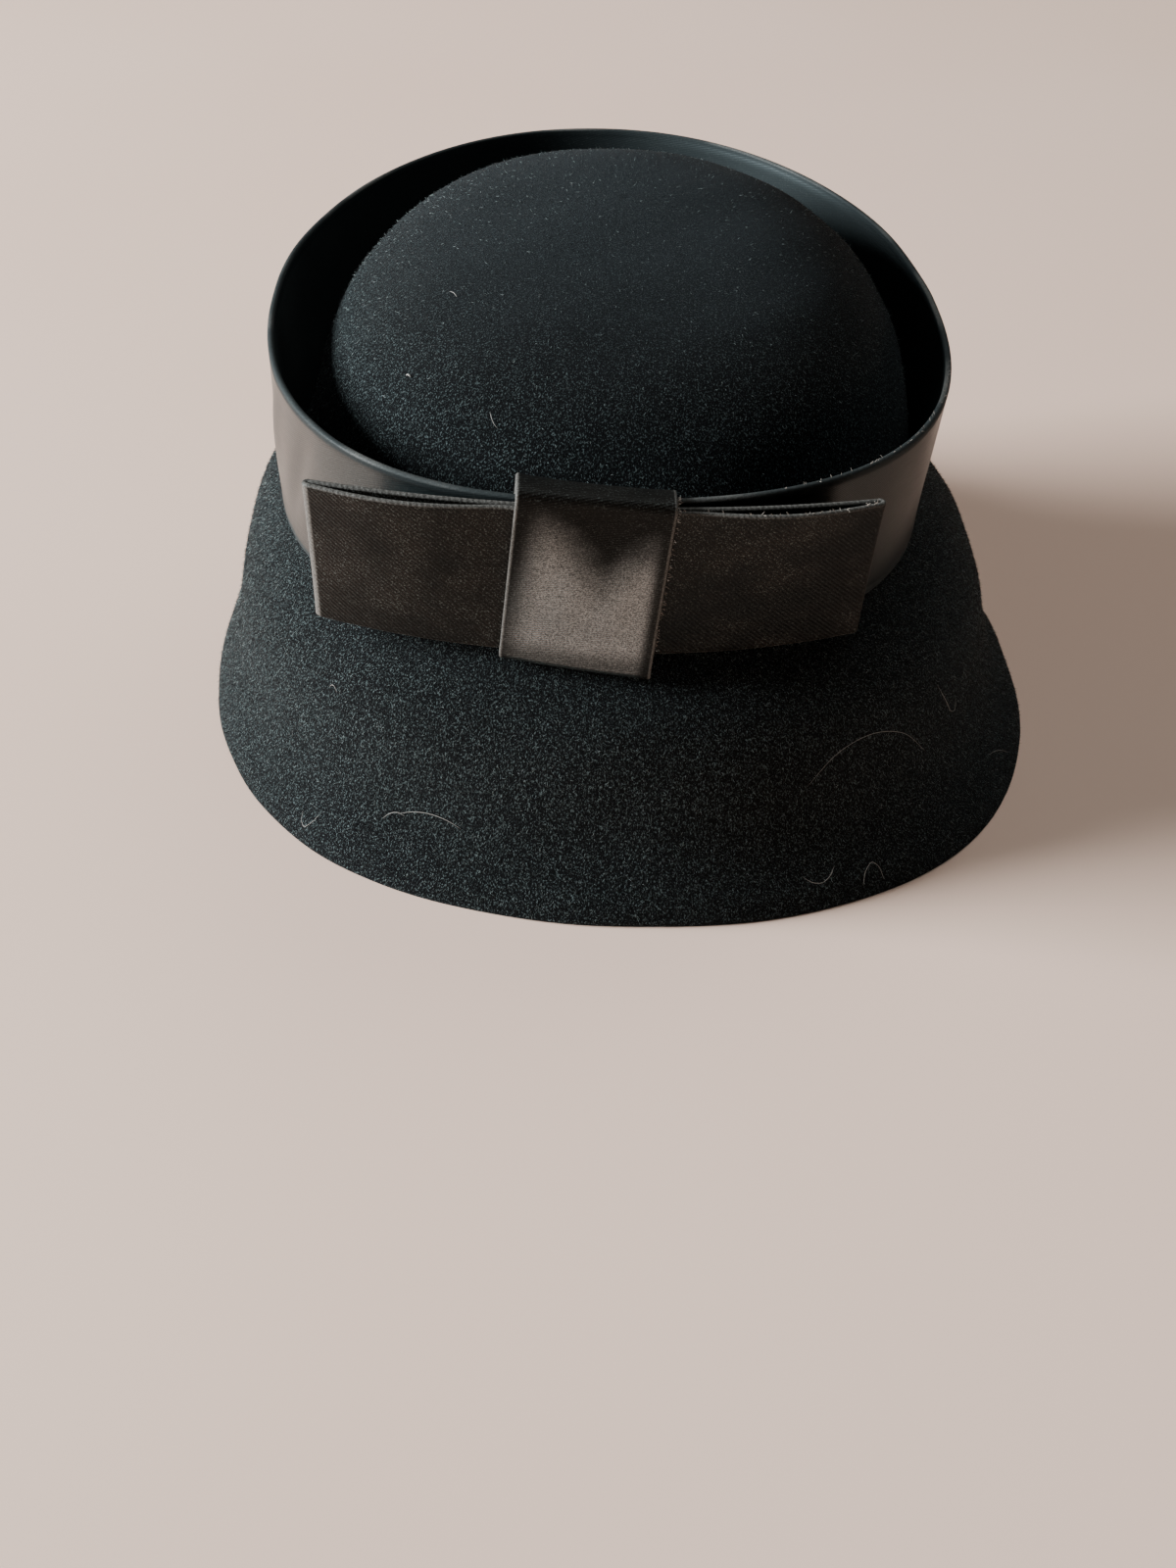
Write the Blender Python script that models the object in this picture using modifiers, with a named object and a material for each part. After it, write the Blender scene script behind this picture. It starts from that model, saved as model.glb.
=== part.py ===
"""A felt cloche hat with a standing satin band and a flat bow.

The hat rests on the edge of its brim. X runs across the head, the bow is at the
back on the -Y side, and Z is up. The origin is on the surface that the hat rests
on, under the middle of the brim. Sizes are in metres.
"""

import bpy
import numpy as np

# Materials' thickness, and the clearance between pieces that touch
FELT = 0.0025
SATIN = 0.0016
RIBBON = 0.0012
GAP = 0.0003

# The felt: its brim at the edge, the head opening inside the crown's base, and heights
BRIM_WIDTH = 0.242
BRIM_LENGTH = 0.269
BRIM_EGG = 0.04
BRIM_TAPER = 0.055
EDGE_LIP = 0.0012
HEAD_WIDTH = 0.168
HEAD_LENGTH = 0.1934
CROWN_EGG = 0.10
CROWN_SIDESTEP = -0.009
SEAT_HEIGHT = 0.070
CROWN_RISE = 0.072
CROWN_TOP_STEP = 0.005
LEAN = 0.048

# How square the plans are at the back and the front: 2 is an ellipse, and more is squarer
CROWN_SQUARE = {"back": 2.3, "front": 2.1}
BRIM_SQUARE = {"back": 2.27, "front": 2.05}

# The band: its height, how far its top edge stands out beyond its foot, and its top's step
# to the side
BAND_HEIGHT = 0.0465
BAND_SIDE_FLARE = 0.0024
BAND_FRONT_FLARE = 0.0110
BAND_BACK_FLARE = 0.0110
BAND_TOP_STEP = 0.0012

# The bow: one flattened ribbon ring, pinched in its middle
BOW_X = -0.0135
BOW_LENGTH = 0.139
BOW_HEIGHT = 0.0465
BOW_TILT = 0.018
BOW_DROP = 0.0008
BOW_STAND = 0.0004
BOW_CURL_TOP = 0.0085
BOW_CURL_FOOT = 0.014
BOW_CURL_POWER = 2.1
LOOP_SWELL = 0.0026
PINCH = 0.0007

# The knot: a strip that wraps the bow and hooks over the band
KNOT_WIDTH = 0.038
KNOT_SKEW = 0.075
KNOT_HOOK = 0.014
KNOT_EASE = 0.0009
KNOT_BEND = 0.0014
KNOT_LIFT = 0.0024
KNOT_SAG = 0.0024
KNOT_STAND = 0.0040

# Fineness of the meshes
SECTORS = 64
LOOP_STEPS = 22
FOLD_STEPS = 4
BOW_ROWS = 7
KNOT_COLUMNS = 6
BEND_STEPS = 3

# The crown from its base to its top: height is a share of the rise, width of the base,
# and step of the top's step to the side
CROWN_ROWS = (
    {"height": 0.00, "width": 1.000, "step": 0.00},
    {"height": 0.14, "width": 0.968, "step": 0.36},
    {"height": 0.30, "width": 0.938, "step": 0.56},
    {"height": 0.46, "width": 0.907, "step": 0.68},
    {"height": 0.61, "width": 0.860, "step": 0.78},
    {"height": 0.74, "width": 0.783, "step": 0.86},
    {"height": 0.85, "width": 0.665, "step": 0.92},
    {"height": 0.93, "width": 0.504, "step": 0.96},
    {"height": 0.98, "width": 0.283, "step": 0.99},
)

# The brim from the crown's base to its edge: height is a share of the base's height,
# and out is a share of the way from the base to the edge
BRIM_ROWS = (
    {"height": 0.93, "out": 0.140},
    {"height": 0.85, "out": 0.305},
    {"height": 0.74, "out": 0.465},
    {"height": 0.61, "out": 0.570},
    {"height": 0.48, "out": 0.632},
    {"height": 0.36, "out": 0.685},
    {"height": 0.25, "out": 0.755},
    {"height": 0.14, "out": 0.860},
    {"height": 0.06, "out": 0.950},
)

# The band from its foot to its top edge: shares of its height and of its flare
BAND_ROWS = (
    {"height": 0.00, "out": 0.00},
    {"height": 0.33, "out": 0.28},
    {"height": 0.67, "out": 0.62},
    {"height": 1.00, "out": 1.00},
)

TURN = np.linspace(0.0, 2.0 * np.pi, SECTORS, endpoint=False)


def egg_ring(half_width, back, front, egg, square=CROWN_SQUARE, turn=TURN):
    """The hat's plan at one level: turn is 0 at the back and a quarter turn at +X."""
    across = np.sin(turn)
    along = np.cos(turn)
    power = 2.0 / np.where(along > 0.0, square["back"], square["front"])
    x = half_width * np.sign(across) * np.abs(across) ** power * (1.0 + egg * along)
    y = -np.where(along > 0.0, back, front) * np.sign(along) * np.abs(along) ** power
    return x, y


def crown_base():
    """The felt's outer ring where the crown meets the brim, which leans down at the back."""
    half_width = HEAD_WIDTH / 2 + FELT
    half_length = HEAD_LENGTH / 2 + FELT
    x, y = egg_ring(half_width, half_length, half_length, CROWN_EGG)
    return np.stack([x + CROWN_SIDESTEP, y, SEAT_HEIGHT + LEAN * y], axis=-1)


def brim_edge():
    """The brim's outer ring, flat on the surface that the hat rests on.

    Its +X side draws in towards the front, and the ring is then centred again.
    """
    half_length = BRIM_LENGTH / 2
    x, y = egg_ring(BRIM_WIDTH / 2, half_length, half_length, BRIM_EGG, BRIM_SQUARE)
    towards_front = np.clip(0.25 + 0.75 * y / half_length, 0.0, 1.0)
    x = np.where(x > 0.0, x * (1.0 - BRIM_TAPER * towards_front), x)
    x -= (x.max() + x.min()) / 2
    return np.stack([x, y, np.zeros_like(x)], axis=-1)


def crown_rings():
    """Rings from just under the crown's top down to its base."""
    base = crown_base()
    centre = np.array([CROWN_SIDESTEP, 0.0, 0.0])
    top = np.array([CROWN_SIDESTEP + CROWN_TOP_STEP, 0.0, SEAT_HEIGHT + CROWN_RISE])
    rings = []
    for row in reversed(CROWN_ROWS):
        ring = centre + (base - centre) * row["width"]
        ring[:, 0] += CROWN_TOP_STEP * row["step"]
        ring[:, 2] = base[:, 2] + (top[2] - base[:, 2]) * row["height"]
        rings.append(ring)
    return rings, top


def brim_rings():
    """Rings from below the crown's base down to the edge, which ends in a short upright lip."""
    base = crown_base()
    edge = brim_edge()
    rings = []
    for row in BRIM_ROWS:
        ring = base + (edge - base) * row["out"]
        ring[:, 2] = base[:, 2] * row["height"]
        rings.append(ring)
    lip = edge.copy()
    lip[:, 2] = EDGE_LIP
    return rings + [lip, edge]


def band_foot():
    """The half width and half length of the band's outer face at its foot."""
    stand_off = FELT + GAP + SATIN
    return HEAD_WIDTH / 2 + stand_off, HEAD_LENGTH / 2 + stand_off


def band_ring(height, out, turn=TURN):
    """The band's outer face at a share of its height and of its flare."""
    half_width, half_length = band_foot()
    x, y = egg_ring(
        half_width + BAND_SIDE_FLARE * out,
        half_length + BAND_BACK_FLARE * out,
        half_length + BAND_FRONT_FLARE * out,
        CROWN_EGG,
        turn=turn,
    )
    z = SEAT_HEIGHT + GAP + LEAN * y + BAND_HEIGHT * height
    return np.stack([x + CROWN_SIDESTEP + BAND_TOP_STEP * out, y, z], axis=-1)


def band_back(x, z):
    """The y of the band's outer face at its back, at each place x and height z."""
    turn = np.linspace(-0.9, 0.9, 121)
    rings = [band_ring(row["height"], row["out"], turn) for row in BAND_ROWS]
    y = np.array([np.interp(x, ring[:, 0], ring[:, 1]) for ring in rings])
    level = np.array([np.interp(x, ring[:, 0], ring[:, 2]) for ring in rings])
    return np.array([np.interp(z[i], level[:, i], y[:, i]) for i in range(len(z))])


def bow_foot_height():
    """The height of the bow's lower edge, a little under the band's foot at the back."""
    return SEAT_HEIGHT - LEAN * (HEAD_LENGTH / 2 + FELT) - BOW_DROP


def bow_drop(x):
    """How far the bow falls towards +X at each place x."""
    return BOW_TILT * (x - BOW_X)


def bow_middle(x, z):
    """The y halfway between the bow's two layers: against the band, and curling back outwards."""
    layers = GAP + BOW_STAND + RIBBON + PINCH / 2
    centre = band_back(np.full_like(z, CROWN_SIDESTEP), z) - layers
    share = np.clip((z - bow_foot_height()) / BOW_HEIGHT, 0.0, 1.0)
    curl = BOW_CURL_FOOT + (BOW_CURL_TOP - BOW_CURL_FOOT) * share
    return centre + curl * (np.abs(x - BOW_X) / (BOW_LENGTH / 2)) ** BOW_CURL_POWER


def bow_loop_path():
    """The ribbon's closed path seen from above: x from the bow's middle, y from its own
    line, and how far the front layer can swell at each point.
    """
    spacing = (RIBBON + PINCH) / 2
    reach = BOW_LENGTH / 2 - spacing - RIBBON / 2
    held = (KNOT_WIDTH / 2 + KNOT_SKEW * BOW_HEIGHT + RIBBON) / reach
    along = np.linspace(-1.0, 1.0, LOOP_STEPS + 1)
    free = np.clip((np.abs(along) - held) / (1.0 - held), 0.0, 1.0)
    fold = np.linspace(0.0, np.pi, FOLD_STEPS + 1)[1:-1]
    fold_x = reach + spacing * np.sin(fold)
    fold_y = -spacing * np.cos(fold)
    level = np.full_like(along, spacing)
    x = np.concatenate([reach * along, fold_x, reach * along[::-1], -fold_x])
    y = np.concatenate([-level, fold_y, level, -fold_y])
    swell = np.zeros_like(x)
    swell[: len(along)] = np.sin(np.pi * free)
    return x, y, swell


def bow_levels():
    """The heights of the bow's rings, from its lower edge to its upper edge."""
    return bow_foot_height() + BOW_HEIGHT * np.linspace(0.0, 1.0, BOW_ROWS)


def bow_rings():
    """The ribbon's path at each level of the bow, whose loops open towards its top."""
    path_x, path_y, swell = bow_loop_path()
    x = BOW_X + path_x
    rings = []
    for level in bow_levels():
        z = np.full_like(x, level)
        opened = LOOP_SWELL * swell * (level - bow_foot_height()) / BOW_HEIGHT
        y = bow_middle(x, z) + path_y - opened
        rings.append(np.stack([x, y, z - bow_drop(x)], axis=-1))
    return rings


def bend(centre_y, centre_z, start, end):
    """Points of a rounded corner in the y-z plane, between two angles in degrees."""
    angle = np.radians(np.linspace(start, end, BEND_STEPS + 1))
    return centre_y + KNOT_BEND * np.cos(angle), centre_z + KNOT_BEND * np.sin(angle)


def knot_column(share):
    """One line of the knot, from its hook behind the band to its tuck under the bow.

    The strip sits a little askew: its top left is lifted, and its lower right sags and
    stands off the bow.
    """
    half = RIBBON / 2
    band_top = band_ring(1.0, 1.0, TURN[:3])[:, 2].max()
    top = band_top + bow_drop(BOW_X + KNOT_WIDTH / 2) + KNOT_EASE + half
    foot = bow_foot_height() - KNOT_EASE - half

    def place(z):
        return BOW_X + KNOT_WIDTH * share - KNOT_SKEW * (top - z)

    def slack(z):
        return (0.5 + share) * np.clip((top - z) / (top - foot), 0.0, 1.0)

    def shifted(z):
        lift = KNOT_LIFT * (0.5 - share) * np.clip((z - foot) / (top - foot), 0.0, 1.0)
        return z + lift - KNOT_SAG * slack(z)

    def middle(z):
        return bow_middle(place(z), shifted(z)) - KNOT_STAND * slack(z)

    def front(z):
        return middle(z) - (RIBBON + PINCH / 2 + KNOT_EASE + half)

    def behind(z):
        height = shifted(z) - bow_drop(place(z))
        return band_back(place(z), height) + SATIN + KNOT_EASE + half

    hook_z = np.linspace(top - KNOT_HOOK, top - KNOT_BEND, 4)
    face_z = np.array([top - KNOT_BEND, *bow_levels()[-2:0:-1], foot + KNOT_BEND])
    back_y, back_z = bend(behind(hook_z[-1:])[0] - KNOT_BEND, hook_z[-1], 0.0, 90.0)
    brow_y, brow_z = bend(front(face_z[:1])[0] + KNOT_BEND, face_z[0], 90.0, 180.0)
    chin_y, chin_z = bend(front(face_z[-1:])[0] + KNOT_BEND, face_z[-1], 180.0, 270.0)
    y = np.concatenate([behind(hook_z), back_y[1:], brow_y, front(face_z)[1:-1], chin_y])
    z = np.concatenate([hook_z, back_z[1:], brow_z, face_z[1:-1], chin_z])
    y = np.append(y, middle(z[-1:]))
    z = np.append(z, z[-1])
    return np.stack([place(z), y, shifted(z) - bow_drop(place(z))], axis=-1)


def knot_columns():
    """The knot's lines from its left edge to its right edge."""
    return [knot_column(share) for share in np.linspace(-0.5, 0.5, KNOT_COLUMNS + 1)]


def loft(name, lines, collection, closed=True, tip=None, flip=False):
    """A mesh object through lines of points, each line joined to the next by a row of faces.

    A closed line is a ring, and a tip is a point that closes the first ring.
    """
    count = len(lines[0])
    spans = count if closed else count - 1
    points = np.concatenate(lines)
    faces = []
    for row in range(len(lines) - 1):
        for i in range(spans):
            here = row * count + i
            beside = row * count + (i + 1) % count
            faces.append((here, here + count, beside + count, beside))
    if tip is not None:
        faces += [(len(points), i, (i + 1) % count) for i in range(count)]
        points = np.concatenate([points, [tip]])
    if flip:
        faces = [face[::-1] for face in faces]
    mesh = bpy.data.meshes.new(name)
    mesh.from_pydata(points.tolist(), [], faces)
    mesh.validate()
    piece = bpy.data.objects.new(name, mesh)
    collection.objects.link(piece)
    mesh.shade_smooth()
    return piece


def thicken(piece, thickness, offset):
    """Give a sheet its thickness: offset -1 puts it behind the sheet, and 0 on both sides."""
    wall = piece.modifiers.new("wall", "SOLIDIFY")
    wall.thickness = thickness
    wall.offset = offset
    wall.use_even_offset = True
    wall.use_rim = True


def material(name, colour, roughness, sheen=0.0):
    """A plain surface of one colour."""
    look = bpy.data.materials.new(name)
    look.use_nodes = True
    shader = look.node_tree.nodes["Principled BSDF"]
    shader.inputs["Base Color"].default_value = (*colour, 1.0)
    shader.inputs["Roughness"].default_value = roughness
    shader.inputs["Sheen Weight"].default_value = sheen
    return look


def make_felt_body(collection):
    """Crown and brim, blocked from one felt."""
    crown, top = crown_rings()
    piece = loft("felt_body", crown + brim_rings(), collection, tip=top)
    thicken(piece, FELT, -1.0)
    piece.data.materials.append(material("black felt", (0.013, 0.014, 0.016), 0.95, 0.25))
    return piece


def make_satin_band(collection):
    """A folded satin collar that stands up round the crown."""
    rings = [band_ring(row["height"], row["out"]) for row in reversed(BAND_ROWS)]
    piece = loft("satin_band", rings, collection)
    thicken(piece, SATIN, -1.0)
    piece.data.materials.append(material("black satin", (0.016, 0.014, 0.013), 0.38))
    return piece


def make_bow_loops(collection):
    """The two loops of the flat bow, one ribbon ring."""
    piece = loft("bow_loops", bow_rings(), collection, flip=True)
    thicken(piece, RIBBON, 0.0)
    piece.data.materials.append(material("black ribbon", (0.018, 0.015, 0.013), 0.42))
    return piece


def make_bow_knot(collection):
    """The strip round the bow's middle."""
    piece = loft("bow_knot", knot_columns(), collection, closed=False)
    thicken(piece, RIBBON, 0.0)
    piece.data.materials.append(material("satin knot", (0.030, 0.027, 0.024), 0.34))
    return piece


def clear_scene():
    """Remove every object of the scene."""
    for old in list(bpy.data.objects):
        bpy.data.objects.remove(old, do_unlink=True)


def main():
    clear_scene()
    collection = bpy.data.collections.new("cloche_hat")
    bpy.context.scene.collection.children.link(collection)
    hat = bpy.data.objects.new("cloche_hat", None)
    collection.objects.link(hat)
    for make in (make_felt_body, make_satin_band, make_bow_loops, make_bow_knot):
        make(collection).parent = hat


main()
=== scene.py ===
# %% [markdown]
# A felt cloche hat with a satin collar and a flat bow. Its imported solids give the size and
# the place of every piece, and the cloth below is laid over them, in metres and in the
# same frame: X across the head, the bow on the -Y side, Z up.

# %% Load the frame
import math

import bmesh
import bpy
import numpy as np
from mathutils import Matrix, Vector


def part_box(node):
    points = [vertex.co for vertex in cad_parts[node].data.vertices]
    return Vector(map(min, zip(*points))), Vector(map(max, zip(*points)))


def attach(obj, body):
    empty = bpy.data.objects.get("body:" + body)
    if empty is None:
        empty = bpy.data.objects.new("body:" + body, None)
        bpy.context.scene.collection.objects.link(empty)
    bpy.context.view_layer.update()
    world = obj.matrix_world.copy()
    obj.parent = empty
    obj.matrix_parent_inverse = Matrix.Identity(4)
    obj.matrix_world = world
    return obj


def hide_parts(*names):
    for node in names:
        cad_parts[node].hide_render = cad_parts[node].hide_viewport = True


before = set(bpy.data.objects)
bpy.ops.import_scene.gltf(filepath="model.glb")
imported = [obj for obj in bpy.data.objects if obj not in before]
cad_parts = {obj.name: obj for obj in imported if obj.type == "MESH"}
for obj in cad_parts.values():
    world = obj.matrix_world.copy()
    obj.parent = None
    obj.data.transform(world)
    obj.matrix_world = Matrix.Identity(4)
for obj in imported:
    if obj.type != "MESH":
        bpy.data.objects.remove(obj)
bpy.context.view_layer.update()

# %% [markdown]
# The brim's length and the hat's height are read from the felt's solid. The other sizes
# are named, and are those that the solids were built with: felt 2.5 mm thick, folded satin
# 1.6 mm and doubled ribbon 1.2 mm.

# %% Sizes
MM = 0.001
FELT = 2.5 * MM
SATIN = 1.6 * MM
RIBBON = 1.2 * MM
CLEAR = 0.3 * MM

felt_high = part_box("felt_body")[1]

BRIM_HALF_WIDTH = 121.0 * MM
BRIM_HALF_LENGTH = felt_high.y
HAT_HEIGHT = felt_high.z
HEAD_HALF_WIDTH = 84.0 * MM
HEAD_HALF_LENGTH = 96.7 * MM
SEAT_HEIGHT = 70.0 * MM
LEAN = 0.048
CROWN_SIDESTEP = -9.0 * MM
CROWN_TOP_STEP = 5.0 * MM
BRIM_EGG = 0.04
BRIM_TAPER = 0.055
CROWN_EGG = 0.10
CROWN_SQUARE = {"back": 2.3, "front": 2.1}
BRIM_SQUARE = {"back": 2.27, "front": 2.05}

print(f"brim {felt_high.x * 2:.3f} x {BRIM_HALF_LENGTH * 2:.3f} m, height {HAT_HEIGHT:.3f} m")

# %% [markdown]
# The camera looks down at the hat's back, tipped a little to one side. It aims at a point
# under the hat, because the hat sits in the upper part of the picture. Its place, aim and
# roll were fitted to the outlines of the brim, the collar and the bow.

# %% Camera
CAMERA_PLACE = Vector((-0.0322, -0.5471, 0.3524))
CAMERA_AIM = Vector((-0.0079, 0.0, -0.0543))
CAMERA_ROLL = math.radians(2.28)
CAMERA_LENS = 48.24
FILM_HEIGHT = 36.0


def in_scene(name, data, place=None):
    """An object with the data, linked to the scene, and set in its place where one is given."""
    made = bpy.data.objects.new(name, data)
    bpy.context.scene.collection.objects.link(made)
    if place is not None:
        made.matrix_world = place
    return made


def looking(place, aim):
    """The turn and the move that stand at a place and face an aim."""
    sight = (Vector(aim) - Vector(place)).to_track_quat("-Z", "Y").to_matrix().to_4x4()
    return Matrix.Translation(place) @ sight


def make_camera():
    """A camera that faces its aim, turned about its own line of sight."""
    lens = bpy.data.cameras.new("camera")
    lens.sensor_width = FILM_HEIGHT
    lens.lens = CAMERA_LENS
    lens.clip_start = 0.01
    roll = Matrix.Rotation(CAMERA_ROLL, 4, "Z")
    bpy.context.scene.camera = in_scene("camera", lens, looking(CAMERA_PLACE, CAMERA_AIM) @ roll)


make_camera()
print(f"camera {(CAMERA_PLACE - CAMERA_AIM).length:.3f} m from its aim")

# %% [markdown]
# Cloth is easiest to work out as a grid of points: one direction goes round or along the
# cloth, and the other across it. These helpers smooth a few rows into many, find which way
# a grid faces, and put grids into a mesh. A UV map in metres keeps a weave at its real
# scale.

# %% Grids of points
def eased(value, low, high):
    """0 below low, 1 above high, and between them 3 times the share squared less 2 its cube."""
    share = np.clip((value - low) / (high - low), 0.0, 1.0)
    return share * share * (3.0 - 2.0 * share)


def bump_at(value, centre, width):
    """A soft hill: one at the centre, and e to minus the distance squared away from it."""
    return np.exp(-(((value - centre) / width) ** 2))


def wrapped(angle):
    """The same angle between minus and plus half a turn."""
    return (angle + np.pi) % (2 * np.pi) - np.pi


def through_rows(rows, count):
    """Count rows on a smooth curve through the given rows.

    Each stretch is a cubic whose slopes at its ends are those of the neighbouring rows,
    measured along the mean length between rows.
    """
    rows = np.asarray(rows, float)
    steps = np.linalg.norm(np.diff(rows, axis=0), axis=-1).reshape(len(rows) - 1, -1).mean(axis=1)
    places = np.concatenate([[0.0], np.cumsum(steps)])
    slopes = np.gradient(rows, places, axis=0)
    where = np.linspace(0.0, places[-1], count)
    left = np.clip(np.searchsorted(places, where, side="right") - 1, 0, len(rows) - 2)
    shape = (count,) + (1,) * (rows.ndim - 1)
    span = steps[left].reshape(shape)
    share = ((where - places[left]) / steps[left]).reshape(shape)
    start = rows[left] * (1 + 2 * share) * (1 - share) ** 2
    rise = slopes[left] * span * share * (1 - share) ** 2
    end = rows[left + 1] * share ** 2 * (3 - 2 * share)
    fall = slopes[left + 1] * span * share ** 2 * (share - 1)
    return start + rise + end + fall


def facing(points, closed):
    """Unit normals of a grid: the product of its steps along the columns and along the rows.

    A closed grid's last column repeats its first, so the step across it uses both sides.
    """
    across = np.gradient(points, axis=1)
    if closed:
        seam = (points[:, 1] - points[:, -2]) / 2
        across[:, 0] = seam
        across[:, -1] = seam
    along = np.gradient(points, axis=0)
    normal = np.cross(along, across)
    length = np.linalg.norm(normal, axis=-1, keepdims=True)
    return normal / np.maximum(length, 1e-12)


def lengths(points, axis):
    """The distance travelled along one direction of a grid, in metres, from zero."""
    steps = np.linalg.norm(np.diff(points, axis=axis), axis=-1)
    start = np.zeros_like(np.take(steps, [0], axis=axis))
    return np.concatenate([start, np.cumsum(steps, axis=axis)], axis=axis)


def paired(first, second):
    """Two numbers for each point of a grid, as its own map wants them."""
    return np.stack(np.broadcast_arrays(first, second), axis=-1)


def close_up(mesh, apart):
    """Make points that coincide one, and turn the faces so that they point outwards."""
    form = bmesh.new()
    form.from_mesh(mesh)
    bmesh.ops.remove_doubles(form, verts=form.verts, dist=apart)
    if form.calc_volume(signed=True) < 0:
        bmesh.ops.reverse_faces(form, faces=form.faces)
    form.to_mesh(mesh)
    form.free()
    mesh.shade_smooth()


def make_piece(name, grids, uv=None, apart=1e-6):
    """A mesh object from closed grids of points: each cell of a grid is a face.

    Each grid encloses space by itself. Apart is how near two points are to be one.
    """
    first = 0
    faces = []
    for grid in grids:
        rows, columns = grid.shape[:2]
        corner = first + np.arange(rows * columns).reshape(rows, columns)
        faces.append(np.stack([corner[:-1, :-1], corner[:-1, 1:], corner[1:, 1:],
                               corner[1:, :-1]], -1).reshape(-1, 4))
        first += rows * columns
    faces = np.concatenate(faces)
    mesh = bpy.data.meshes.new(name)
    mesh.from_pydata(np.concatenate([grid.reshape(-1, 3) for grid in grids]).tolist(), [],
                     faces.tolist())
    if uv is not None:
        layer = mesh.uv_layers.new(name="cloth")
        layer.data.foreach_set("uv", uv.reshape(-1, 2)[faces.ravel()].astype(np.float32).ravel())
    close_up(mesh, apart)
    piece = in_scene(name, mesh)
    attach(piece, "root")
    print(f"{name}: {len(grids)} grids, {len(mesh.polygons)} faces")
    return piece


# %% [markdown]
# A hat's plan is neither a circle nor an ellipse: a head is longer than it is wide, a bit
# wider at one end, and a blocked crown is slightly squared. One formula gives that plan at
# every level, so the crown, the collar and the brim stay parallel to each other.

# %% The hat's plan
ROUND_STEPS = 320
TURN = np.linspace(0.0, 2.0 * np.pi, ROUND_STEPS + 1)


def egg_ring(half_width, half_length, egg, turn, square=CROWN_SQUARE):
    """The plan at one level: a squared ellipse that is wider towards the back.

    Turn is 0 at the back and a quarter turn at +X. The sine and cosine are raised to 2
    over the squareness, with their signs kept.
    """
    across = np.sin(turn)
    along = np.cos(turn)
    power = 2.0 / np.where(along > 0.0, square["back"], square["front"])
    x = half_width * np.sign(across) * np.abs(across) ** power * (1.0 + egg * along)
    y = -half_length * np.sign(along) * np.abs(along) ** power
    return x, y


def crown_base(turn):
    """The felt's outer ring where the crown meets the brim, which leans down at the back."""
    x, y = egg_ring(HEAD_HALF_WIDTH + FELT, HEAD_HALF_LENGTH + FELT, CROWN_EGG, turn)
    return np.stack([x + CROWN_SIDESTEP, y, SEAT_HEIGHT + LEAN * y], axis=-1)


def brim_edge(turn):
    """The brim's outer ring, half the felt's thickness above the surface that it rests on.

    Its +X side is drawn in by a share that grows towards the front, and then the ring is
    centred again.
    """
    x, y = egg_ring(BRIM_HALF_WIDTH, BRIM_HALF_LENGTH, BRIM_EGG, turn, BRIM_SQUARE)
    towards_front = np.clip(0.25 + 0.75 * y / BRIM_HALF_LENGTH, 0.0, 1.0)
    x = np.where(x > 0.0, x * (1.0 - BRIM_TAPER * towards_front), x)
    x -= (x.max() + x.min()) / 2
    return np.stack([x, y, np.full_like(x, FELT / 2)], axis=-1)


print("head opening", round(2 * HEAD_HALF_WIDTH, 3), "x", round(2 * HEAD_HALF_LENGTH, 3), "m")

# %% [markdown]
# The body of the hat is one felt, steamed over a block: a domed crown, a short shoulder
# under the collar, then a bell-shaped brim. A surface of revolution can't do it, because
# the brim and the crown have different plans and centres. So the felt is a loft: rings
# at named heights, each a share of the way between two plans.

# %% The felt's rows
CROWN_HEIGHTS = (1.00, 0.98, 0.93, 0.85, 0.74, 0.61, 0.46, 0.30, 0.14, 0.00)
CROWN_WIDTHS = (0.000, 0.283, 0.504, 0.665, 0.783, 0.860, 0.907, 0.938, 0.968, 1.000)
CROWN_SIDEWAYS = (1.00, 0.99, 0.96, 0.92, 0.86, 0.78, 0.68, 0.56, 0.36, 0.00)
BRIM_HEIGHTS = (1.00, 0.93, 0.85, 0.74, 0.61, 0.48, 0.36, 0.25, 0.14, 0.06, 0.00)
BRIM_OUT = (0.000, 0.140, 0.305, 0.465, 0.570, 0.632, 0.685, 0.755, 0.860, 0.950, 1.000)
CROWN_STEPS = 64
BRIM_STEPS = 76


def crown_surface(turn):
    """The dome: at each height, the base ring drawn in to a width, and moved sideways.

    One ring from the far side of the top is added before the top, so that the curve
    through the rows runs level over it.
    """
    base = crown_base(turn)
    centre = np.array([CROWN_SIDESTEP, 0.0, 0.0])
    rows = []
    for height, width, sideways in zip(CROWN_HEIGHTS, CROWN_WIDTHS, CROWN_SIDEWAYS):
        ring = centre + (base - centre) * width
        ring[:, 0] += CROWN_TOP_STEP * sideways
        ring[:, 2] = base[:, 2] + (HAT_HEIGHT - base[:, 2]) * height
        rows.append(ring)
    top = rows[0][0]
    beyond = np.roll(rows[1][:-1], len(turn) // 2, axis=0)
    beyond = np.concatenate([beyond, beyond[:1]])
    fine = through_rows([beyond, *rows], 2 * CROWN_STEPS)
    first = np.argmin(np.ptp(fine[:, :, 0], axis=1))
    return np.concatenate([np.broadcast_to(top, fine[:1].shape), fine[first + 1:]])


def brim_surface(turn):
    """The bell: at each height, a share of the way out from the crown's base to the edge."""
    base = crown_base(turn)
    edge = brim_edge(turn)
    rows = []
    for height, out in zip(BRIM_HEIGHTS, BRIM_OUT):
        ring = base + (edge - base) * out
        ring[:, 2] = edge[:, 2] + (base[:, 2] - edge[:, 2]) * height
        rows.append(ring)
    return through_rows(rows, BRIM_STEPS)


crown = crown_surface(TURN)
brim = brim_surface(TURN)
print("crown rows", len(crown), "brim rows", len(brim))

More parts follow.
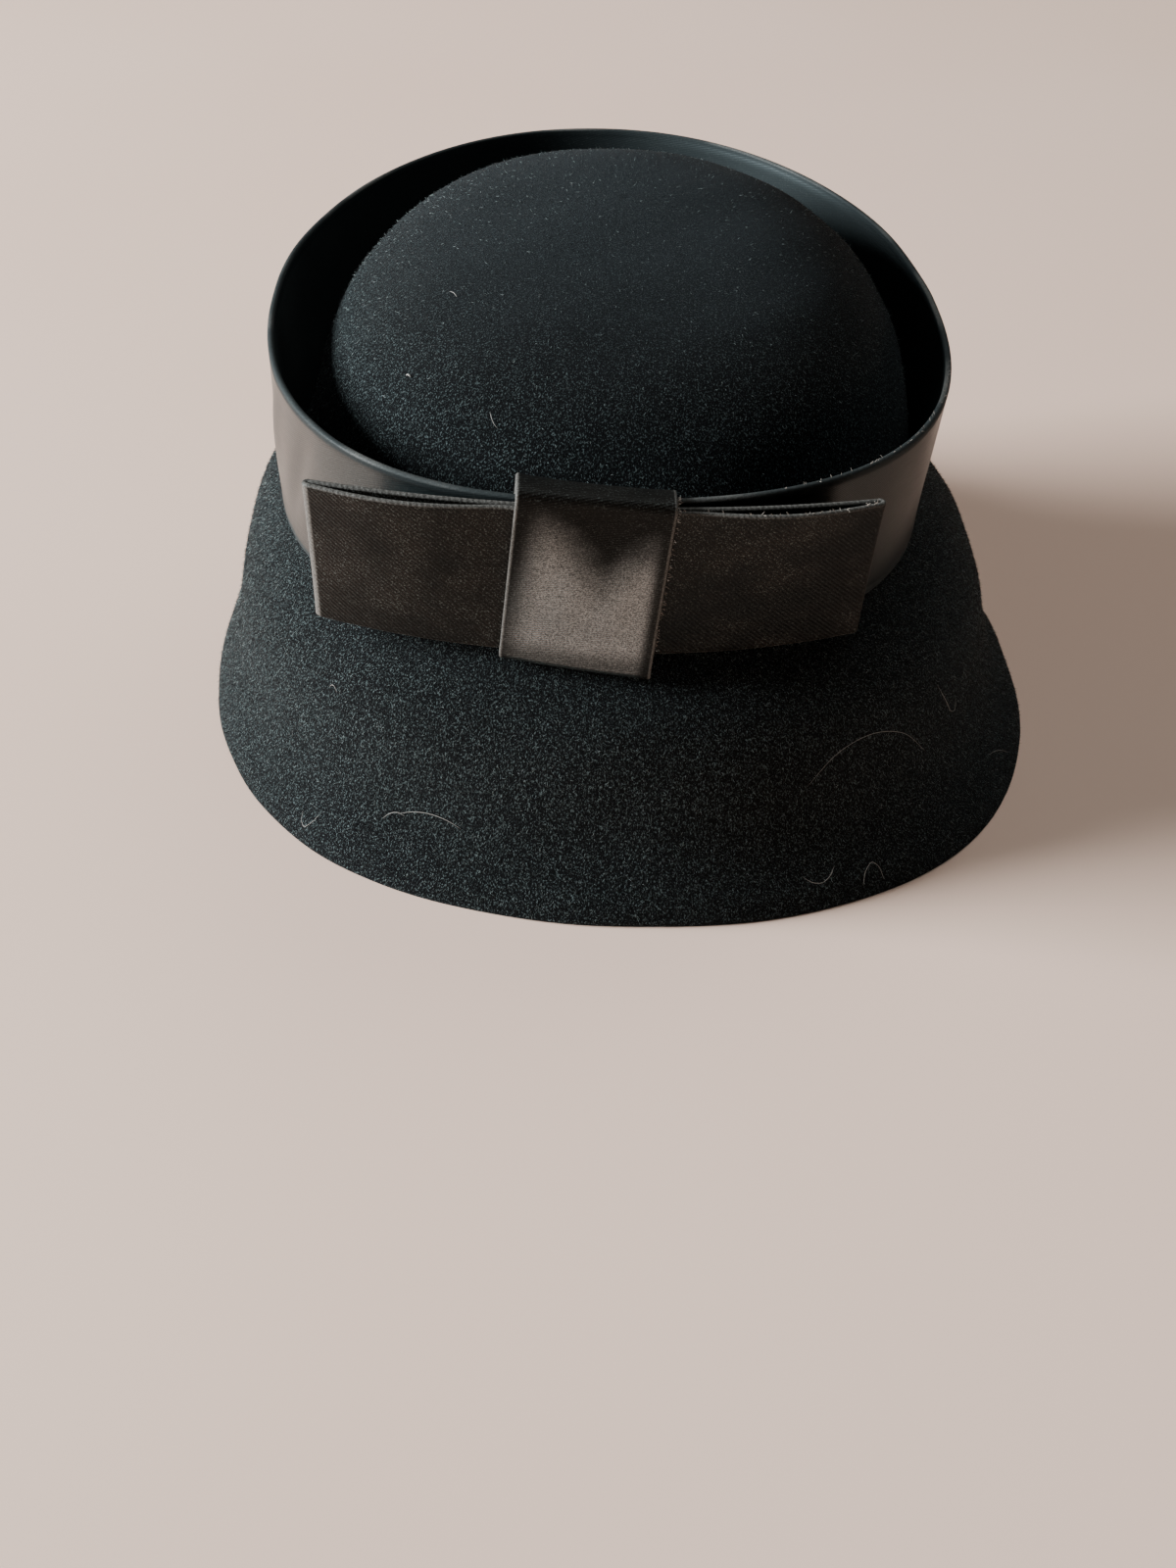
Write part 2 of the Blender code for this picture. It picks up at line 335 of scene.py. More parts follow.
# %% [markdown]
# Real felt is never quite even. Steam and handling leave shallow hollows in the dome, a
# soft crease down each side of the bell, and one side of the bell a little flatter than
# the other. These are small moves along the surface's own normal, which the light picks
# out on black felt.

# %% Hollows and creases in the felt
HOLLOW_BROAD = 0.45 * MM
HOLLOW_FINE = 0.22 * MM
CREASE_TURNS = {"left": -1.62, "right": 1.50}
CREASE_WIDTH = 0.075
CREASE_LEAN = 0.15
CREASE_LEVEL = 24 * MM
CREASE_REACH = 17 * MM
CREASE_DEPTH = 0.35 * MM
FLAT_SIDE = {"turn": 1.35, "width": 0.65, "height": 16 * MM, "reach": 30 * MM,
             "depth": 2.0 * MM}


def dome_unevenness(points):
    """Waves of a few centimetres: sines and cosines of the place itself, so they close up."""
    x, y, z = points[..., 0], points[..., 1], points[..., 2]
    broad = np.sin(61 * x + 1.3) * np.cos(47 * y - 0.4)
    fine = np.sin(118 * x - 83 * y + 2.1) * np.cos(95 * z + 67 * y)
    return HOLLOW_BROAD * broad + HOLLOW_FINE * fine


def side_creases(points, turn):
    """A ridge along each side: a narrow hill in turn times a broad hill in height."""
    height = points[..., 2]
    slant = CREASE_LEAN * (height - CREASE_LEVEL) / CREASE_LEVEL
    total = np.zeros_like(height)
    for centre in CREASE_TURNS.values():
        total += bump_at(wrapped(turn - centre) + slant, 0.0, CREASE_WIDTH)
    return CREASE_DEPTH * total * bump_at(height, CREASE_LEVEL, CREASE_REACH)


def flat_side(points, turn):
    """How far the bell is pressed in on its flatter side: a hill in turn times one in height."""
    level = bump_at(points[..., 2], FLAT_SIDE["height"], FLAT_SIDE["reach"])
    away = wrapped(turn - FLAT_SIDE["turn"])
    return FLAT_SIDE["depth"] * bump_at(away, 0.0, FLAT_SIDE["width"]) * level


def unevened(points, turn, fade):
    """The grid moved along its normals by its hollows and creases, times a fade for each row."""
    normal = facing(points, closed=True)
    move = dome_unevenness(points) + side_creases(points, turn) - flat_side(points, turn)
    move = move * fade[:, None]
    return points + normal * move[..., None]


crown = unevened(crown, TURN, eased(np.linspace(1.0, 0.0, len(crown)), 0.0, 0.25))
brim = unevened(brim, TURN, eased(np.linspace(0.0, 1.0, len(brim)), 0.05, 0.30))
outside = np.concatenate([crown, brim[1:]])
outward = facing(outside, closed=True)
outward[0] = (0.0, 0.0, 1.0)
print(f"felt moved by up to {np.abs(dome_unevenness(outside)).max() * 1000:.2f} mm")

# %% [markdown]
# The felt's raw edge is cut, not bound, and wear rounds it. Instead of a Solidify
# modifier, whose rim would be flat, the wall is closed by hand: down the outside, round a
# half circle at the edge, and back up the inside, one felt thickness in.

# %% The felt shell
RIM_STEPS = 8
INSIDE_EVERY = 2


def felt_shell(points, normal):
    """Outside, half-round edge and inside in one closed grid.

    The edge is a half circle about the middle of the wall, from the outward normal, through
    the way that the surface was heading, to the inward normal.
    """
    heading = points[-1] - points[-2]
    heading /= np.linalg.norm(heading, axis=-1, keepdims=True)
    middle = points[-1] - normal[-1] * FELT / 2
    angle = np.linspace(0.0, np.pi, RIM_STEPS + 1)[1:-1, None, None]
    rim = middle + (normal[-1] * np.cos(angle) + heading * np.sin(angle)) * FELT / 2
    inside = (points - normal * FELT)[::-1][::INSIDE_EVERY]
    last = points[:1] - normal[:1] * FELT
    grid = np.concatenate([points, rim, inside, last])
    grid[..., 2] = np.maximum(grid[..., 2], 0.0)
    return grid


shell = felt_shell(outside, outward)
felt_hat = make_piece("felt_hat", [shell], paired(TURN * HEAD_HALF_WIDTH, lengths(shell, 0)))
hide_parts("felt_body")

# %% [markdown]
# The collar, the bow's loops and its knot are all strips of satin, 38 to 47 mm wide and
# folded under at both edges, so each edge is a soft round fold and not a cut. One section
# serves them all: a flat face, a quarter circle at each edge, and a slightly fuller roll
# just inside the fold, where the satin lies double.

# %% A strip's section
FOLD_STEPS = 5
ROLL_REACH = 3 * MM


def strip_section(width, thickness, count, roll=0.12):
    """Places across a strip and half thicknesses there, from 0 at one edge to 0 at the other.

    Within half a thickness of an edge the section is a quarter circle. Inside that it is
    flat, with a roll that adds a share of the thickness and dies away from the edge.
    """
    half = thickness / 2
    angle = np.linspace(0.0, np.pi / 2, FOLD_STEPS + 1)
    start = half * (1.0 - np.cos(angle))
    middle = np.linspace(half, width - half, count)[1:-1]
    place = np.concatenate([start, middle, width - start[::-1]])
    depth = np.concatenate([np.sin(angle), np.ones_like(middle), np.sin(angle[::-1])]) * half
    from_edge = np.minimum(place, width - place)
    return place, depth * (1.0 + roll * np.exp(-from_edge / ROLL_REACH))


def there_and_back(place):
    """The distance across a strip's face and on across its back."""
    return np.concatenate([place, place[-1] + place[1:]])


def ring_strip(name, centre, place, depth, along):
    """A strip that closes on itself: its face from edge to edge, then its back.

    Centre is the grid of the strip's middle surface, a row for each place across it.
    """
    move = facing(centre, closed=True) * depth[:, None, None]
    grid = np.concatenate([centre + move, (centre - move)[::-1][1:]])
    return make_piece(name, [grid], paired(along, there_and_back(place)[:, None]))


COLLAR_HEIGHT = 46.5 * MM
collar_place, collar_depth = strip_section(COLLAR_HEIGHT, SATIN, 30)
print("collar section has", len(collar_place), "places across its height")

# %% [markdown]
# The collar is sewn to the felt at its foot only. It stands up round the crown and opens
# outwards, more at the back and front than at the sides, so a dark trough runs between it
# and the dome. The folded satin is stiff, so it bends at a few places round the head
# instead of evenly: two of these soft corners show at the sides of its rim.

# %% The satin collar
FLARE = {"side": 2.4 * MM, "ends": 11.0 * MM}
COLLAR_LEVELS = (0.00, 0.33, 0.67, 1.00)
COLLAR_OUT = (0.00, 0.28, 0.62, 1.00)
COLLAR_TOP_STEP = 1.2 * MM
COLLAR_TUCK = 1.2 * MM
COLLAR_PULLS = (        # turn, slope, push and width
    (-1.50, 0.16, -1.10 * MM, 0.055),
    (-1.22, 0.22, -1.00 * MM, 0.045),
    (-0.98, 0.26, 0.80 * MM, 0.050),
    (1.18, -0.18, -0.35 * MM, 0.060),
)
COLLAR_CORNERS = ((-1.95, 0.5 * MM, 0.16), (1.72, 0.7 * MM, 0.14))      # turn, push, width
RIPPLE_DEPTH = 0.22 * MM
RIM_WAVE = 0.30 * MM


def collar_face(height, turn):
    """The collar's middle surface at shares of its height: the crown's plan, opened by the flare.

    Its foot is drawn down onto the felt's shoulder, so that no light comes in under it.
    """
    out = np.interp(height, COLLAR_LEVELS, COLLAR_OUT)[:, None]
    stand_off = FELT + CLEAR + SATIN / 2
    x, y = egg_ring(HEAD_HALF_WIDTH + stand_off + FLARE["side"] * out,
                    HEAD_HALF_LENGTH + stand_off + FLARE["ends"] * out, CROWN_EGG, turn[None, :])
    z = SEAT_HEIGHT + CLEAR + LEAN * y + COLLAR_HEIGHT * height[:, None]
    z -= COLLAR_TUCK * (1.0 - height[:, None]) ** 4
    return np.stack([x + CROWN_SIDESTEP + COLLAR_TOP_STEP * out, y, z], axis=-1)


def collar_surface(height, turn):
    """The collar with its soft corners, slanting pulls, long ripples and uneven rim.

    A pull is a narrow hill in turn, whose middle moves with the height, and which dies away
    at the foot and at the rim. A push is inwards, and one below zero is outwards.
    """
    points = collar_face(height, turn)
    normal = facing(points, closed=True)
    rise = height[:, None]
    push = np.zeros(points.shape[:2])
    turn = turn[None, :]
    for centre, depth, width in COLLAR_CORNERS:
        push += depth * rise ** 2 * bump_at(wrapped(turn - centre), 0.0, width)
    for centre, slope, depth, width in COLLAR_PULLS:
        away = wrapped(turn - centre - slope * (rise - 0.5))
        push += depth * np.sin(np.pi * rise) * bump_at(away, 0.0, width)
    slant = turn * 9.0 + rise * 2.6
    push += RIPPLE_DEPTH * np.sin(slant) * np.sin(turn * 4.0 + 1.0) * np.sin(np.pi * rise)
    push += RIM_WAVE * np.sin(turn * 5.0 + 0.7) * rise ** 2
    points = points + normal * push[..., None]
    points[..., 2] += RIM_WAVE * np.sin(turn * 3.0 + 0.4) * rise ** 3
    return points


collar_centre = collar_surface(collar_place / COLLAR_HEIGHT, TURN)
collar_round = lengths(collar_centre[-1:], 1)[0]
satin_collar = ring_strip("satin_collar", collar_centre, collar_place, collar_depth, collar_round)
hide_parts("satin_band")
print(f"collar {collar_round[-1] * 1000:.0f} mm round its rim")

# %% [markdown]
# The bow was never tied. It is one ribbon, joined into a flat ring and pinched at its
# middle by a second, shorter strip. Each loop therefore has two layers: the back one lies
# against the collar, and the front one swells a little off it, with a dark slit between
# them along the top. The ring's path is drawn in plan, then carried up the ribbon's width.

# %% The path of the bow's ribbon
BOW_HEIGHT = 46.5 * MM
BOW_HALF_LENGTH = 69.5 * MM
BOW_X = -13.5 * MM
BOW_TILT = 0.018
BOW_DROP = 0.8 * MM
BOW_STAND = 0.4 * MM
BOW_CURL = {"top": 8.5 * MM, "foot": 14.0 * MM, "power": 2.1}
LOOP_SWELL = 2.6 * MM
PINCH = 0.7 * MM
KNOT_WIDTH = 38.0 * MM
KNOT_SKEW = 0.075
PATH_STEPS = 120
WAVE_DEPTH = 0.35 * MM
WAVES_FROM = (20 * MM, 34 * MM)
bow_foot = SEAT_HEIGHT - LEAN * (HEAD_HALF_LENGTH + FELT) - BOW_DROP


def collar_back(x, z):
    """The y of the collar's outer face at its back, at places x and heights z.

    The collar's rows are read at each x, and then at each z between the rows.
    """
    turn = np.linspace(-0.95, 0.95, 161)
    share = np.linspace(0.0, 1.0, 9)
    rings = collar_face(share, turn)
    step = SATIN / 2
    y = np.stack([np.interp(x.ravel(), ring[:, 0], ring[:, 1] - step) for ring in rings])
    level = np.stack([np.interp(x.ravel(), ring[:, 0], ring[:, 2]) for ring in rings])
    bottom, top = level[0], level[-1]
    place = np.clip((z.ravel() - bottom) / (top - bottom), 0.0, 1.0) * (len(share) - 1)
    low = np.minimum(place.astype(int), len(share) - 2)
    part = place - low
    which = np.arange(x.size)
    return (y[low, which] * (1 - part) + y[low + 1, which] * part).reshape(x.shape)


def bow_middle(x, z):
    """The y halfway between the bow's layers, which curl off the collar at the ends."""
    layers = CLEAR + BOW_STAND + RIBBON + PINCH / 2
    centre = collar_back(np.full_like(z, CROWN_SIDESTEP), z) - layers
    share = np.clip((z - bow_foot) / BOW_HEIGHT, 0.0, 1.0)
    curl = BOW_CURL["foot"] + (BOW_CURL["top"] - BOW_CURL["foot"]) * share
    return centre + curl * (np.abs(x - BOW_X) / BOW_HALF_LENGTH) ** BOW_CURL["power"]


def loop_path():
    """The ribbon's closed path in plan: x from the bow's middle, y off the bow's own line,
    and how far the front layer can swell, a sine from the knot to each fold.

    Two straight layers are joined by half circles.
    """
    spacing = (RIBBON + PINCH) / 2
    reach = BOW_HALF_LENGTH - spacing - RIBBON / 2
    held = (KNOT_WIDTH / 2 + KNOT_SKEW * BOW_HEIGHT + RIBBON) / reach
    along = np.sin(np.linspace(-np.pi / 2, np.pi / 2, PATH_STEPS + 1))
    free = np.clip((np.abs(along) - held) / (1.0 - held), 0.0, 1.0)
    level = np.full_like(along, spacing)
    fold = np.linspace(0.0, np.pi, 11)[1:-1]
    fold_x = reach + spacing * np.sin(fold)
    fold_y = -spacing * np.cos(fold)
    x = np.concatenate([reach * along, fold_x, reach * along[::-1], -fold_x])
    y = np.concatenate([-level, fold_y, level, -fold_y])
    swell = np.zeros_like(x)
    swell[: len(along)] = np.sin(np.pi * free)
    return np.append(x, x[0]), np.append(y, y[0]), np.append(swell, 0.0)


path_x, path_y, path_swell = loop_path()
print("ribbon path of", len(path_x), "points")

# %% [markdown]
# A ribbon loop isn't a perfect prism. Its two layers meet along the foot and open towards
# the top, and the satin pulls in shallow waves towards the knot. Those waves are added to
# the front layer, and fade out at the folds.

# %% The bow's loops
def loops_surface(place):
    """The ring's middle surface: the path, set on the bow's line at each place across it."""
    level = (bow_foot + place)[:, None]
    x = BOW_X + np.broadcast_to(path_x, (len(place), len(path_x)))
    z = np.broadcast_to(level, x.shape)
    share = (z - bow_foot) / BOW_HEIGHT
    off = np.broadcast_to(path_y, x.shape)
    front = (off < 0.0) * np.clip(1.0 - np.abs(path_x) / BOW_HALF_LENGTH, 0.0, 1.0)
    near = eased(np.abs(path_x), *WAVES_FROM)
    pull = np.sin(share * 7.0 + x * 90.0) * WAVE_DEPTH * front * near * share
    y = bow_middle(x, z) + off + pull - LOOP_SWELL * path_swell * share
    return np.stack([x, y, z - BOW_TILT * (x - BOW_X)], axis=-1)


loop_place, loop_depth = strip_section(BOW_HEIGHT, RIBBON, 34, roll=0.18)
loops_centre = loops_surface(loop_place)
loops_round = lengths(loops_centre[:1], 1)[0]
ribbon_loops = ring_strip("ribbon_loops", loops_centre, loop_place, loop_depth, loops_round)
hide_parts("bow_loops")
print(f"bow ribbon {loops_round[-1] * 1000:.0f} mm long")

# %% [markdown]
# The knot is a short strip that comes up from behind the collar, over its rim, down the
# face of the bow, and tucks in under it. It sits askew and slack: lifted at its top left,
# sagging at its lower right, with a hollow under its top edge. The strip's line is drawn
# as a chain of straight stretches and round corners, and then smoothed.

# %% The knot's line
KNOT_EASE = 0.9 * MM
KNOT_BEND = 1.4 * MM
KNOT_HOOK = 14.0 * MM
KNOT_LIFT = 2.4 * MM
KNOT_SAG = 2.4 * MM
KNOT_STAND = 4.0 * MM
KNOT_TUCK = (0.0, 1.2 * MM, 0.0)
knot_top = collar_face(np.array([1.0]), TURN[:5])[..., 2].max() + BOW_TILT * KNOT_WIDTH / 2
knot_top += KNOT_EASE + RIBBON / 2
knot_foot = bow_foot - KNOT_EASE - RIBBON / 2


def knot_rows(share):
    """Points down the strip at shares of its width: hook, corner, face, corner and tuck."""
    face_levels = np.linspace(knot_top - KNOT_BEND, knot_foot + KNOT_BEND, 22)
    hook_levels = np.linspace(knot_top - KNOT_HOOK, knot_top - KNOT_BEND, 6)
    share = share[None, :]

    def settled(level):
        down = np.clip((knot_top - level) / (knot_top - knot_foot), 0.0, 1.0)
        slack = (0.5 + share) * down
        x = BOW_X + KNOT_WIDTH * share - KNOT_SKEW * (knot_top - level)
        z = level + KNOT_LIFT * (0.5 - share) * (1.0 - down) - KNOT_SAG * slack
        return x, z, slack

    def corner(middle, start, end):
        angle = np.radians(np.linspace(start, end, 7))[:, None, None]
        circle = np.concatenate([np.zeros_like(angle), np.cos(angle), np.sin(angle)], axis=-1)
        return middle + KNOT_BEND * circle

    x, z, _ = settled(hook_levels[:, None])
    y = collar_back(x, z - BOW_TILT * (x - BOW_X)) + SATIN + KNOT_EASE + RIBBON / 2
    hook = np.stack([x, y, z], axis=-1)
    x, z, slack = settled(face_levels[:, None])
    y = bow_middle(x, z) - KNOT_STAND * slack - RIBBON * 1.5 - PINCH / 2 - KNOT_EASE
    face = np.stack([x, y, z], axis=-1)
    inwards = np.array([0.0, KNOT_BEND, 0.0])
    chin = corner(face[-1:] + inwards, 180.0, 270.0)
    line = np.concatenate([hook, corner(hook[-1:] - inwards, 0.0, 90.0)[1:],
                           corner(face[:1] + inwards, 90.0, 180.0), face[1:-1],
                           chin, chin[-1:] + KNOT_TUCK])
    line[..., 2] -= BOW_TILT * (line[..., 0] - BOW_X)
    return line


KNOT_ROWS = 110
knot_place, knot_depth = strip_section(KNOT_WIDTH, RIBBON, 40, roll=0.25)
knot_centre = through_rows(knot_rows(knot_place / KNOT_WIDTH - 0.5), KNOT_ROWS)
print("knot grid", knot_centre.shape)

# %% [markdown]
# A strip with two free ends is closed as a pillow is: the face and the back share their
# whole border. At the ends the thickness falls to nothing as it does at the folds.

# %% The bow's knot
def open_strip(name, centre, place, depth, relief):
    """A strip with ends: face and back are the middle surface moved by the half thickness.

    The half thickness across the strip is drawn in to zero over the last half thickness of
    the strip's length. Relief is how far each point of the grid comes forward.
    """
    down = lengths(centre, 0).mean(axis=1)
    half = depth.max()
    ends = np.minimum(down, down[-1] - down) / half
    taper = np.sqrt(np.clip(1.0 - (1.0 - np.clip(ends, 0.0, 1.0)) ** 2, 0.0, 1.0))
    normal = facing(centre, closed=False)
    middle = centre + normal * relief[..., None]
    move = normal * (taper[:, None] * depth[None, :])[..., None]
    grid = np.concatenate([middle + move, (middle - move)[:, ::-1][:, 1:]], axis=1)
    return make_piece(name, [grid], paired(there_and_back(place), down[:, None]))


FACE_START = KNOT_HOOK + 2.0 * KNOT_BEND + 4.0 * MM
KNOT_DIP, KNOT_SWELL, KNOT_RIPPLE = 1.7, 0.8, 0.08


def knot_relief(centre, place):
    """How far the face comes forward, where below zero is a hollow: a V-shaped sag from the
    top edge to the middle, and below it a swell towards the foot.

    The V is a hill in width that narrows on the way down.
    """
    side = place[None, :] / KNOT_WIDTH - 0.5
    down = lengths(centre, 0)
    into = np.clip((down - FACE_START) / BOW_HEIGHT, 0.0, 1.0)
    on_face = eased(into, 0.0, 0.12) * (1.0 - eased(into, 0.76, 1.0))
    sag = bump_at(side, 0.06, 0.36 - 0.26 * into) * bump_at(into, 0.24, 0.22)
    forward = eased(into, 0.15, 0.75) * (1.0 - (2.0 * side) ** 4)
    ripple = np.sin(side * 21.0 + into * 5.0) * eased(into, 0.2, 0.6)
    return -(KNOT_DIP * sag - KNOT_SWELL * forward - KNOT_RIPPLE * ripple) * MM * on_face


ribbon_knot = open_strip("ribbon_knot", knot_centre, knot_place, knot_depth,
                         knot_relief(knot_centre, knot_place))
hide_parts("bow_knot")

# %% [markdown]
# Brushed fur felt is covered by a short nap: fibres that were combed downwards, of which
# the paler ones catch the light as flecks. A texture can colour them, but it can't break
# up the outline, so they are real: each is a slim three-sided spike, four faces in all.
# They are scattered over the outside by picking cells of the grid by their area.

# %% Fibres on the felt
rng = np.random.default_rng(20)
# Fewer fibres towards the dome's top: painted shade that darkens the top.
DARKER_TOP_SHARE = 0.65
DARKER_TOP_HEIGHTS = (114 * MM, 138 * MM)


def unit(vectors):
    """Vectors of length one in the same directions."""
    return vectors / np.maximum(np.linalg.norm(vectors, axis=-1, keepdims=True), 1e-12)


def scatter(points, normal, count, rows):
    """Places, normals and downward directions at random over a range of the grid's rows.

    A cell is picked with a chance that goes with its area, and that falls by two thirds
    towards the hat's top, a painted shade that darkens the top. A point within it mixes its four
    corners.
    """
    low, high = rows
    patch = points[low:high + 1]
    turned = normal[low:high + 1]
    down = patch[1:, :-1] - patch[:-1, :-1]
    beside = patch[:-1, 1:] - patch[:-1, :-1]
    area = np.linalg.norm(np.cross(down, beside), axis=-1)
    area = area * (1.0 - DARKER_TOP_SHARE * eased(patch[1:, :-1, 2], *DARKER_TOP_HEIGHTS))
    cell = rng.choice(area.size, size=count, p=(area / area.sum()).ravel())
    row, column = np.unravel_index(cell, area.shape)
    s, t = rng.random((2, count, 1))

    def mixed(grid):
        first = grid[row, column] * (1 - t) + grid[row, column + 1] * t
        second = grid[row + 1, column] * (1 - t) + grid[row + 1, column + 1] * t
        return first * (1 - s) + second * s

    return mixed(patch), mixed(turned), unit(down[row, column])


def frame_about(heading):
    """Two directions at right angles to each heading, and to each other."""
    side = unit(np.cross(heading, np.array([0.31, 0.57, 0.76])))
    return side, np.cross(heading, side)


def fibre_points(root, direction, length, radius):
    """Four points a fibre: a triangle round its root, and its tip."""
    side, other = frame_about(direction)
    angle = np.arange(3) * 2 * np.pi / 3
    circle = side[:, None] * np.cos(angle)[:, None] + other[:, None] * np.sin(angle)[:, None]
    ring = root[:, None] + circle * radius[:, None]
    return np.concatenate([ring, (root + direction * length)[:, None]], axis=1)


FIBRE_FACES = np.array([(0, 2, 1), (0, 1, 3), (1, 2, 3), (2, 0, 3)])


def make_fibres(name, points, tones, materials):
    """One mesh of many fibres: the same four triangles for each, shifted by four points."""
    count = len(points)
    faces = (FIBRE_FACES[None] + 4 * np.arange(count)[:, None, None]).reshape(-1, 3)
    mesh = bpy.data.meshes.new(name)
    mesh.vertices.add(count * 4)
    mesh.vertices.foreach_set("co", points.astype(np.float32).ravel())
    mesh.loops.add(faces.size)
    mesh.loops.foreach_set("vertex_index", faces.astype(np.int32).ravel())
    mesh.polygons.add(len(faces))
    mesh.polygons.foreach_set("loop_start", np.arange(0, faces.size, 3, dtype=np.int32))
    for material in materials:
        mesh.materials.append(material)
    mesh.polygons.foreach_set("material_index",
                              np.repeat(tones, len(FIBRE_FACES)).astype(np.int32))
    mesh.update(calc_edges=True)
    piece = in_scene(name, mesh)
    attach(piece, "root")
    print(f"{name}: {count} fibres, {len(faces)} triangles")


# %% [markdown]
# Materials are node trees. To keep them readable, one small class wraps a socket, so that
# arithmetic on it adds Math nodes, and one method adds any other node.

# %% A small language for materials
class Wire:
    """An output socket. Arithmetic on it adds a Math node and gives that node's output."""

    def __init__(self, look, socket):
        self.look = look
        self.socket = socket

    def math(self, operation, other=0.0):
        return self.look.node("ShaderNodeMath", {"operation": operation}, {0: self, 1: other})

    def __add__(self, other):
        return self.math("ADD", other)

    def __sub__(self, other):
        return self.math("SUBTRACT", other)

    def __mul__(self, other):
        return self.math("MULTIPLY", other)


class Look:
    """A material under construction, with its Principled shader ready to be fed."""

    def __init__(self, name):
        self.material = bpy.data.materials.new(name)
        self.material.use_nodes = True
        self.tree = self.material.node_tree
        self.shader = self.tree.nodes["Principled BSDF"]

    def feed(self, socket, value):
        """Link a wire to an input socket, or set a plain value on it."""
        if isinstance(value, Wire):
            self.tree.links.new(value.socket, socket)
        else:
            socket.default_value = value

    def node(self, kind, settings=None, inputs=None, output=0):
        """Add a node: its settings first, then the values or links of its inputs."""
        made = self.tree.nodes.new(kind)
        for key, value in (settings or {}).items():
            setattr(made, key, value)
        for key, value in (inputs or {}).items():
            self.feed(made.inputs[key], value)
        return Wire(self, made.outputs[output])

    def mixed(self, share, first, second):
        """A colour between two, by a share: a Mix node set to colours."""
        return self.node("ShaderNodeMix", {"data_type": "RGBA"},
                         {0: share, 6: first, 7: second}, 2)

    def ranged(self, value, low, high, to_low=0.0, to_high=1.0):
        """A value's range moved to another, smoothly, and held at its ends."""
        return self.node("ShaderNodeMapRange", {"interpolation_type": "SMOOTHSTEP"},
                         {"Value": value, "From Min": low, "From Max": high,
                          "To Min": to_low, "To Max": to_high})

    def place(self):
        """The point's place on the object, in metres."""
        return self.node("ShaderNodeTexCoord", output=3)

    def cloth(self):
        """The piece's own map, in metres along and across the cloth."""
        return self.node("ShaderNodeUVMap", {"uv_map": "cloth"})

    def coordinate(self, axis):
        """One number of the piece's own map, in metres: axis 0 or axis 1."""
        return self.node("ShaderNodeSeparateXYZ", None, {"Vector": self.cloth()}, axis)

    def scaled(self, vector, *scale):
        """A vector times a scale for each of its numbers."""
        return self.node("ShaderNodeMapping", None, {"Vector": vector, "Scale": scale})

    def noise(self, vector, scale, detail=3.0, roughness=0.55):
        """Smooth random values between 0 and 1."""
        return self.node("ShaderNodeTexNoise", None, {"Vector": vector, "Scale": scale,
                                                      "Detail": detail, "Roughness": roughness})

    def bumped(self, height, strength, distance):
        """A normal tilted by a height."""
        return self.node("ShaderNodeBump", None, {"Height": height, "Strength": strength,
                                                  "Distance": distance})

    def finish(self, **values):
        """Feed the shader, by input name with _ for a space, and give the material back."""
        for key, value in values.items():
            self.feed(self.shader.inputs[key.replace("_", " ")], value)
        return self.material


# %% [markdown]
# Black felt isn't one black. Daylight gives it a cool, bluish cast, the dye takes unevenly
# in blotches of some centimetres, and the nap shows as flecks a millimetre or two long
# that run down the surface. A little sheen, on the shader itself, stands for the many
# fibre tips that scatter light at a grazing angle.

# %% The felt's finish
BLOTCHES_PER_METRE = 38.0
FLECKS_PER_METRE = (2700.0, 2700.0, 1600.0)


def felt_finish():
    """Dark blotches under paler flecks, from noise that is drawn out along the height.

    The flecks fade towards the top of the dome: painted shade that darkens the top.
    """
    look = Look("black fur felt")
    place = look.place()
    blotch = look.noise(place, BLOTCHES_PER_METRE)
    streak = look.noise(look.scaled(place, *FLECKS_PER_METRE), 1.0, 3.0, 0.7)
    height = look.node("ShaderNodeSeparateXYZ", None, {"Vector": place}, 2)
    # Painted shade: fewer pale flecks towards the top of the dome.
    painted_light_share = look.ranged(height, 0.106, 0.138, 1.0, 0.42)
    fleck = look.ranged(streak, 0.545, 0.635) * painted_light_share
    tone = look.mixed(blotch, (0.0012, 0.0015, 0.0018, 1.0), (0.0024, 0.0029, 0.0035, 1.0))
    colour = look.mixed(fleck, tone, (0.096, 0.130, 0.132, 1.0))
    return look.finish(Base_Color=colour, Roughness=0.95, Specular_IOR_Level=0.10,
                       Sheen_Weight=0.06, Sheen_Roughness=0.45,
                       Sheen_Tint=(0.70, 0.86, 0.95, 1.0),
                       Normal=look.bumped(streak, 0.9, 0.0006))


def fibre_tone(name, colour, roughness, shine):
    """A plain tone for fibres, which are far too thin to carry a pattern."""
    return Look(name).finish(Base_Color=(*colour, 1.0), Roughness=roughness,
                             Specular_IOR_Level=shine)


FELT_TONES = [fibre_tone("nap black", (0.0014, 0.0017, 0.0020), 0.6, 0.15),
              fibre_tone("nap charcoal", (0.004, 0.005, 0.0058), 0.45, 0.3),
              fibre_tone("nap slate", (0.038, 0.053, 0.055), 0.40, 0.6),
              fibre_tone("nap pale", (0.215, 0.280, 0.275), 0.38, 0.7)]
felt_hat.data.materials.append(felt_finish())

# %% [markdown]
# Satin shines because its long floats lie side by side. Close up it still shows its
# weave: fine diagonal ribs on the ribbon, and a plainer grain on the collar and the knot.
# The ribs come from the cloth map, so they turn with the cloth at every fold.

# %% The satin's finish
SHADES_PER_METRE = 55.0
SLUBS_PER_METRE = (140.0, 1500.0, 1.0)
GRAINS_PER_METRE = 2300.0
# Painted highlight: the pale line along the satin's folds.
PAINTED_FOLD_HIGHLIGHT = (0.150, 0.148, 0.138, 1.0)
COOL = (0.75, 0.95, 1.0, 1.0)
